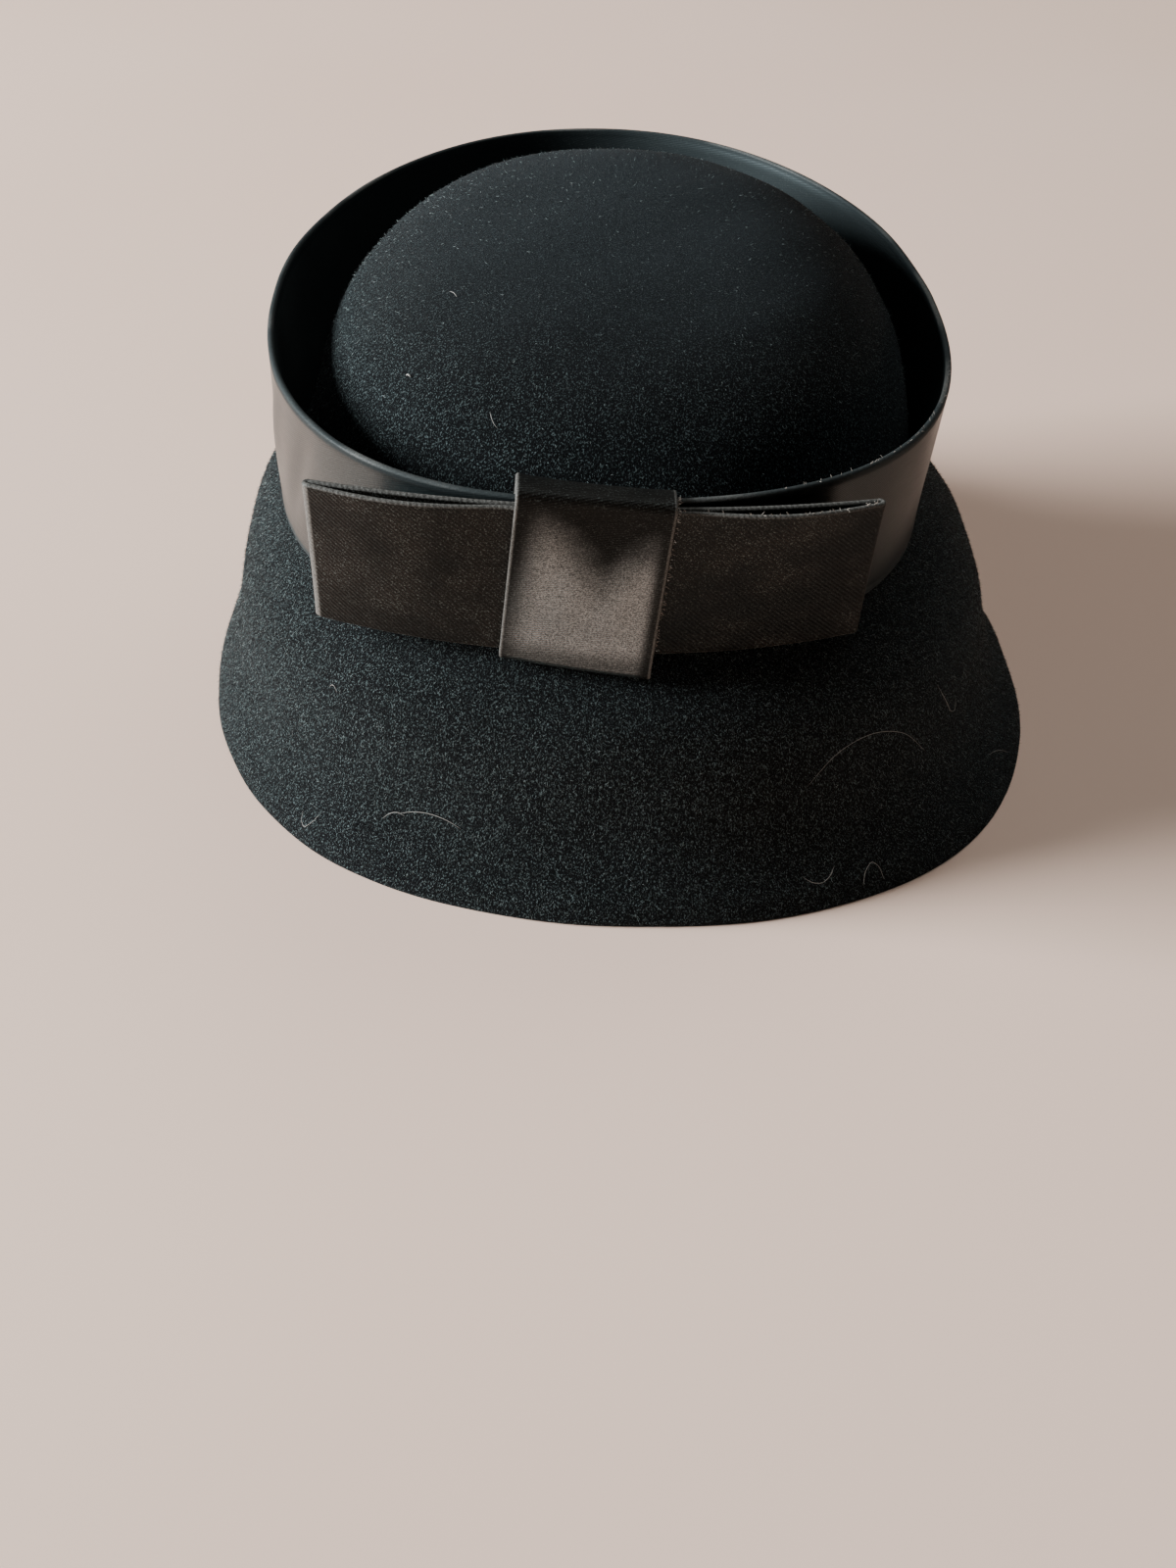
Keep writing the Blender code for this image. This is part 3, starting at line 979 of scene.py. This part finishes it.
# Painted reflection: the pale, cool tone that the satin's colour turns towards where the second
# shine lies.
PAINTED_REFLECTION_TONE = (0.072, 0.120, 0.130, 1.0)
# Painted glints: the pale tone of floats that catch the light.
PAINTED_GLINT_TONE = (0.130, 0.150, 0.140, 1.0)


def satin_finish(name, dark, light, rib, flecks, roughness, shine, coat_and_painted_reflection, folds, dull=None,
                 relief=0.40):
    """Two tones by a slow noise, ribs as tone and bump, painted glints on some floats, a
    painted pale, cool reflection where the second shine lies, and a painted highlight along
    each fold.

    Rib is how fast the diagonal ribs change along and across the cloth map, and flecks the
    share of floats painted pale, as glints. The coat works out how much of a second, smoother
    shine the floats give, and how far the colour there is painted towards a pale, cool
    reflection; folds say where the folds lie, with a painted highlight along them, dull how
    much rougher a place is, and relief how far the ribs stand out.
    """
    look = Look(name)
    place = look.place()
    slow = look.noise(place, SHADES_PER_METRE, 2.0)
    slub = look.noise(look.scaled(look.cloth(), *SLUBS_PER_METRE), 1.0)
    ribs = look.node("ShaderNodeTexWave", {"wave_type": "BANDS", "bands_direction": "DIAGONAL"},
                     {"Vector": look.scaled(look.cloth(), *rib, 1.0), "Scale": 1.0,
                      "Distortion": 0.5, "Detail": 1.0}, output=1)
    grain = look.noise(place, GRAINS_PER_METRE, 2.0, 0.7)
    shine_and_reflection_share = coat_and_painted_reflection(look, grain)
    base = look.mixed(look.ranged(slow * 0.7 + slub * 0.3, 0.3, 0.7), dark, light)
    # Painted reflection: the colour turns pale and cool where the second shine lies.
    with_painted_reflection = look.mixed(shine_and_reflection_share * 0.9, base, PAINTED_REFLECTION_TONE)
    ribbed = look.mixed(ribs * 0.7, with_painted_reflection, dark)
    # Painted glints: pale floats scattered over the ribs.
    painted_glint = look.ranged(grain, 0.56, 0.68) * look.ranged(slow, 0.35, 0.60, 0.35, 1.0) * flecks
    with_painted_glints = look.mixed(painted_glint, ribbed, PAINTED_GLINT_TONE)
    # Painted highlight: a paler line along each fold.
    colour = look.mixed(folds(look) * look.ranged(grain, 0.3, 0.6, 0.35, 1.0), with_painted_glints, PAINTED_FOLD_HIGHLIGHT)
    gloss = look.ranged(slub * 0.5 + slow * 0.5, 0.35, 0.65, roughness - 0.02, roughness + 0.03)
    gloss = gloss + dull(look) if dull else gloss
    height = ribs * relief + slub * 0.06 + grain * 0.25
    return look.finish(Base_Color=colour, Roughness=gloss, Specular_IOR_Level=shine,
                       Specular_Tint=COOL, Coat_Weight=shine_and_reflection_share, Coat_Roughness=0.26,
                       Coat_IOR=2.4, Normal=look.bumped(height, 0.55, 0.00025))


def even_shine_and_reflection(weight):
    """The same second shine everywhere, but for a fine grain, with the same painted reflection in
    the colour.
    """
    return lambda look, grain: look.ranged(grain, 0.3, 0.7, weight * 0.6, weight * 1.4)


def fold_lines(look, axis, spacing, shift=0.0, width=0.8 * MM):
    """1 at the folds, which lie at every multiple of the spacing along one axis of the cloth
    map, and 0 from a given width away.
    """
    away = (look.coordinate(axis) + shift).math("PINGPONG", spacing / 2)
    return look.ranged(away, width * 0.4, width, 1.0, 0.0)


def collar_fold_highlights(look):
    """A painted highlight along the collar's two folds, faint but for some stretches of a few
    centimetres.
    """
    painted_light_share = look.ranged(look.noise(look.place(), 26.0, 2.0), 0.44, 0.62, 0.05, 0.55)
    return fold_lines(look, 1, COLLAR_HEIGHT) * painted_light_share


def collar_dull(look):
    """How much rougher the collar's inside and its rim are, which nothing has smoothed."""
    inside = look.ranged(look.coordinate(1), COLLAR_HEIGHT - 4 * MM, COLLAR_HEIGHT, 0.52, 0.0)
    rim = fold_lines(look, 1, COLLAR_HEIGHT, 0.0, 2.6 * MM) * 0.46
    return inside.math("MAXIMUM", rim)


def collar_shine_and_reflection(look, grain):
    """The second shine on the collar's outside, and the painted reflection that it brings to the
    colour, which ends below the fold of its rim.
    """
    outer = look.ranged(look.coordinate(1), COLLAR_HEIGHT + MM, COLLAR_HEIGHT + 4 * MM, 0.1, 1.0)
    return even_shine_and_reflection(0.12)(look, grain) * outer


def loop_fold_highlights(look):
    """A painted highlight along the loops' two long folds, and along the fold at the end of the
    left loop.
    """
    end = fold_lines(look, 0, float(loops_round[-1]), 0.7 * MM, 1.1 * MM)
    long = fold_lines(look, 1, BOW_HEIGHT, 0.0, 0.6 * MM)
    return (long * 0.6).math("MAXIMUM", end)


def knot_shine_and_reflection(look, grain):
    """The knot's share of the second shine, and of the painted reflection in its colour: little
    in the V under its top, most below it.

    The V's edge is a height that falls with the distance from the strip's middle. Both
    margins stay dull.
    """
    side = look.coordinate(0) * (1.0 / KNOT_WIDTH) - 0.5
    from_middle = (side - 0.11).math("ABSOLUTE")
    into = (look.coordinate(1) - FACE_START) * (1.0 / BOW_HEIGHT)
    # A slow noise that makes the edge of the V uneven.
    edge_wobble = look.noise(look.place(), 90.0, 2.0)
    edge = into + from_middle * 0.75 + edge_wobble * 0.25
    left = look.ranged(side + into * 0.12, -0.42, -0.18)
    right = look.ranged(side, 0.37, 0.46, 1.0, 0.05)
    foot = look.ranged(into, 1.0, 1.14, 1.0, 0.35)
    shine_and_reflection_share = look.ranged(edge, 0.46, 0.96) * look.ranged(into, 0.04, 0.18) * left * right * foot
    return shine_and_reflection_share * look.ranged(grain, 0.34, 0.66, 0.35, 1.10)


def knot_dull(look):
    """How much rougher the knot is where it bends over the collar's rim."""
    return look.ranged(look.coordinate(1), FACE_START - 3 * MM, FACE_START + 2 * MM, 0.45, 0.0)


def knot_fold_highlights(look):
    """A painted highlight along the knot's two long folds."""
    return fold_lines(look, 0, KNOT_WIDTH, 0.0, 1.0 * MM) * 0.8


satin_collar.data.materials.append(satin_finish(
    "black satin", dark=(0.0042, 0.0056, 0.0060, 1.0), light=(0.0084, 0.0108, 0.0112, 1.0),
    rib=(260.0, 900.0), flecks=0.14, roughness=0.30, shine=0.38, coat_and_painted_reflection=collar_shine_and_reflection,
    folds=collar_fold_highlights, dull=collar_dull, relief=0.12))
ribbon_loops.data.materials.append(satin_finish(
    "black twill ribbon", dark=(0.0014, 0.0011, 0.0009, 1.0), light=(0.019, 0.0148, 0.0118, 1.0),
    rib=(-430.0, 430.0), flecks=0.75, roughness=0.44, shine=0.12, coat_and_painted_reflection=even_shine_and_reflection(0.0),
    folds=loop_fold_highlights))
ribbon_knot.data.materials.append(satin_finish(
    "black satin knot", dark=(0.0026, 0.0021, 0.0017, 1.0), light=(0.010, 0.0084, 0.0070, 1.0),
    rib=(250.0, 900.0), flecks=0.25, roughness=0.38, shine=0.08, coat_and_painted_reflection=knot_shine_and_reflection,
    folds=knot_fold_highlights, dull=knot_dull))
print("satin finishes made")

# %% [markdown]
# The nap goes on in patches, so that no piece grows past what can be stored: the crown
# above the collar, and the brim below it in four quarters. Most fibres are black or
# charcoal and give the felt its depth. One in four is slate, and one in seven pale.

# %% The nap
FIBRE_LENGTH = (0.50 * MM, 1.30 * MM)
FIBRE_RADIUS = 0.062 * MM
FIBRE_ROOT = 0.05 * MM
FIBRE_TURN = 0.6
FIBRE_LIFT = (0.05, 0.50)
LEAST_LIFT = 0.12
TONE_SHARES = (0.38, 0.24, 0.24, 0.14)
PER_PATCH = 34000
crown_rows_visible = (1, int(len(crown) * 0.93))
brim_start = len(crown) + int(len(brim) * 0.02)


def nap_patch(name, points, normal, rows, count):
    """Fibres that lie down the surface, lifted a little, each turned aside by its own chance."""
    root, out, down = scatter(points, normal, count, rows)
    aside = rng.normal(0.0, FIBRE_TURN, (count, 3))
    lift = rng.uniform(*FIBRE_LIFT, (count, 1))
    direction = unit(down + out * lift + aside)
    sunk = LEAST_LIFT - (direction * out).sum(-1, keepdims=True)
    direction = unit(direction + out * np.maximum(sunk, 0.0))
    length = rng.uniform(*FIBRE_LENGTH, (count, 1))
    radius = FIBRE_RADIUS * rng.uniform(0.6, 1.2, (count, 1))
    tones = rng.choice(len(TONE_SHARES), size=count, p=TONE_SHARES)
    points = fibre_points(root - out * FIBRE_ROOT, direction, length, radius)
    make_fibres(name, points, tones, FELT_TONES)


nap_patch("nap_crown", outside, outward, crown_rows_visible, PER_PATCH)
quarter = ROUND_STEPS // 4
for number, start in enumerate(range(0, ROUND_STEPS, quarter)):
    columns = slice(start, start + quarter + 1)
    nap_patch(f"nap_brim_{number + 1}", outside[:, columns], outward[:, columns],
              (brim_start, len(outside) - 1), PER_PATCH)

# %% [markdown]
# Dark felt gathers pale hairs and lint. Each is a thin round thread along a parabola
# between two places on the felt, so it can lie straight or curl, and it is a closed grid
# like every other piece. The places were read off the photograph: a long pale hair low on
# the left of the brim, curled ones at its edge and a long faint one on the right.

# %% Loose hairs and lint
HAIR_RADIUS = 0.05 * MM
HAIRS = (       # from, to, curl and lift, in mm
    ((-62, -112), (-45, -119), 0.5, 0.4),
    ((-66, -111), (-60, -113), 0.5, 0.3),
    ((43, -114.5), (78, -93), 0.5, 0.3),
    ((80, -84), (87, -78), -1.8, 0.8),
    ((101, -71), (109, -62), 0.6, 0.3),
    ((60, -121), (66, -118), 3.0, 1.2),
    ((43, -124), (52, -120), -2.0, 0.6),
    ((-80, -92), (-78, -94), 0.4, 0.3),
    ((-88, -98), (-83, -102), -2.0, 1.2),
    ((-50, -43), (-48, -46), 0.3, 0.2),
    ((-39, -77), (-37, -80), -0.3, 0.2),
)
LINT_RADIUS = 0.20 * MM
LINT = ((-60.2, -61.6), (-59.0, -62.8), 0.2, 0.3)
HAIR_STAND = 0.4 * MM
HAIR_KNOTS = 5
HAIR_STEPS = 28
HAIR_SIDES = 5


def on_felt(x, y):
    """The outside's nearest point, and its normal, to each place in plan."""
    flat = outside.reshape(-1, 3)
    away = (flat[None, :, 0] - x[:, None]) ** 2 + (flat[None, :, 1] - y[:, None]) ** 2
    nearest = away.argmin(axis=1)
    return flat[nearest], outward.reshape(-1, 3)[nearest]


def thread_grid(path, radius):
    """A round thread along a path, which narrows to a point at each end."""
    side, other = frame_about(unit(np.gradient(path, axis=0)))
    angle = np.linspace(0.0, 2 * np.pi, HAIR_SIDES + 1)[:, None]
    along = np.linspace(0.0, 1.0, len(path))
    thin = radius * np.sqrt(np.clip(4.0 * along * (1.0 - along), 0.0, 1.0))[:, None, None]
    circle = side[:, None] * np.cos(angle) + other[:, None] * np.sin(angle)
    return path[:, None] + circle * thin


def hair_path(start, end, curl, lift):
    """A parabola in plan between two places, laid on the felt and lifted in its middle.

    Its height at a few places is that of the plane that touches the felt nearby, and a
    smooth curve runs through them.
    """
    start, end = np.array(start) * MM, np.array(end) * MM
    along = np.linspace(0.0, 1.0, HAIR_KNOTS)[:, None]
    aside = unit(np.array([start[1] - end[1], end[0] - start[0]]))
    hill = 4.0 * along * (1.0 - along)
    plan = start + (end - start) * along + aside * curl * MM * hill
    place, normal = on_felt(plan[:, 0], plan[:, 1])
    fall = ((plan - place[:, :2]) * normal[:, :2]).sum(axis=1) / normal[:, 2]
    spot = np.concatenate([plan, place[:, 2:] - fall[:, None]], axis=1)
    return through_rows(spot + normal * (HAIR_STAND + lift * MM * hill), HAIR_STEPS)


def make_threads(name, grids, material):
    """One piece from many thread grids, whose points lie closer together than the cloth's."""
    piece = make_piece(name, grids, apart=1e-7)
    piece.data.materials.append(material)


hairs = [thread_grid(hair_path(*hair), HAIR_RADIUS) for hair in HAIRS]
hairs.append(thread_grid(hair_path(*LINT), LINT_RADIUS))
make_threads("loose_hairs", hairs, fibre_tone("pale hair", (0.42, 0.41, 0.38), 0.5, 0.5))

# %% [markdown]
# The satin's own frayed ends stand along four edges: the right edge of the knot, the top
# of the loop on the right, the collar's rim behind them, and the knot's top. They are
# short, and lean every way.

# %% Frayed ends on the satin
FRAY_RADIUS = 0.06 * MM


def fray_along(line, outward_way, count, length, spread):
    """Short threads rooted at random along a line of points, leaning outwards by chance."""
    grids = []
    for spot in np.sort(rng.random(count)):
        place = spot * (len(line) - 1)
        low = min(int(place), len(line) - 2)
        root = line[low] + (line[low + 1] - line[low]) * (place - low)
        way = unit(np.asarray(outward_way) + rng.normal(0.0, spread, 3))
        turned = unit(way + rng.normal(0.0, 0.8, 3))
        reach = rng.uniform(0.4, 1.0) * length
        along = np.linspace(0.0, 1.0, 5)[:, None]
        grids.append(thread_grid(root + reach * (way * along + turned * along ** 2 * 0.6),
                                 FRAY_RADIUS))
    return grids


FRAYED = (
    (knot_centre[25:95, -1], (0.9, -0.5, 0.0), 90, 1.1 * MM, 0.5),
    (loops_centre[-1, 70:116], (0.0, -0.3, 0.9), 34, 1.1 * MM, 0.5),
    (collar_centre[-1, 18:70], (0.0, -0.3, 0.9), 46, 1.0 * MM, 0.6),
    (knot_centre[22:27, 4:-4].mean(axis=0), (0.0, -0.8, 0.5), 26, 0.9 * MM, 0.6),
)
make_threads("frayed_ends", [grid for row in FRAYED for grid in fray_along(*row)],
             fibre_tone("frayed satin", (0.26, 0.23, 0.20), 0.5, 0.5))

# %% [markdown]
# The hat stands on a plain pale surface with a warm, slightly pink cast. A large soft
# light stands low on the left, as a window does. Two wide weak ones hang overhead and high
# behind the hat, for the floor's sake. The sky is almost dark, so the right side of the
# felt falls nearly to black.

# %% Floor and lights
FLOOR_HALF = 14.0


def make_floor():
    """A square of floor far wider than the picture, in a warm pale tone that varies softly."""
    mesh = bpy.data.meshes.new("floor")
    corners = [(-FLOOR_HALF, -FLOOR_HALF, 0), (FLOOR_HALF, -FLOOR_HALF, 0),
               (FLOOR_HALF, FLOOR_HALF, 0), (-FLOOR_HALF, FLOOR_HALF, 0)]
    mesh.from_pydata(corners, [], [(0, 1, 2, 3)])
    floor = in_scene("floor", mesh)
    look = Look("pale floor")
    cloud = look.noise(look.place(), 2.2, 2.0)
    colour = look.mixed(look.ranged(cloud, 0.35, 0.65), (0.85, 0.610, 0.490, 1.0),
                        (0.87, 0.640, 0.520, 1.0))
    mesh.materials.append(look.finish(Base_Color=colour, Roughness=0.75))


def make_light(name, place, aim, size, power, colour):
    """A square area light that faces a point."""
    lamp = bpy.data.lights.new(name, "AREA")
    lamp.size = size
    lamp.energy = power
    lamp.color = colour
    in_scene(name, lamp, looking(place, aim))


make_floor()
make_light("window", (-3.05, -0.12, 1.20), (0.0, 0.0, 0.06), 1.4, 375.0, (0.95, 0.98, 1.0))
make_light("overhead", (0.5, 0.4, 2.5), (0.0, 0.0, 0.0), 2.2, 10.0, (1.0, 0.98, 0.95))
make_light("behind", (0.9, 1.7, 2.9), (0.3, 0.3, 0.0), 2.4, 26.0, (1.0, 0.98, 0.94))
world = bpy.data.worlds.new("studio")
bpy.context.scene.world = world
world.use_nodes = True
sky = world.node_tree.nodes["Background"]
sky.inputs["Color"].default_value = (0.90, 0.86, 0.84, 1.0)
sky.inputs["Strength"].default_value = 0.04
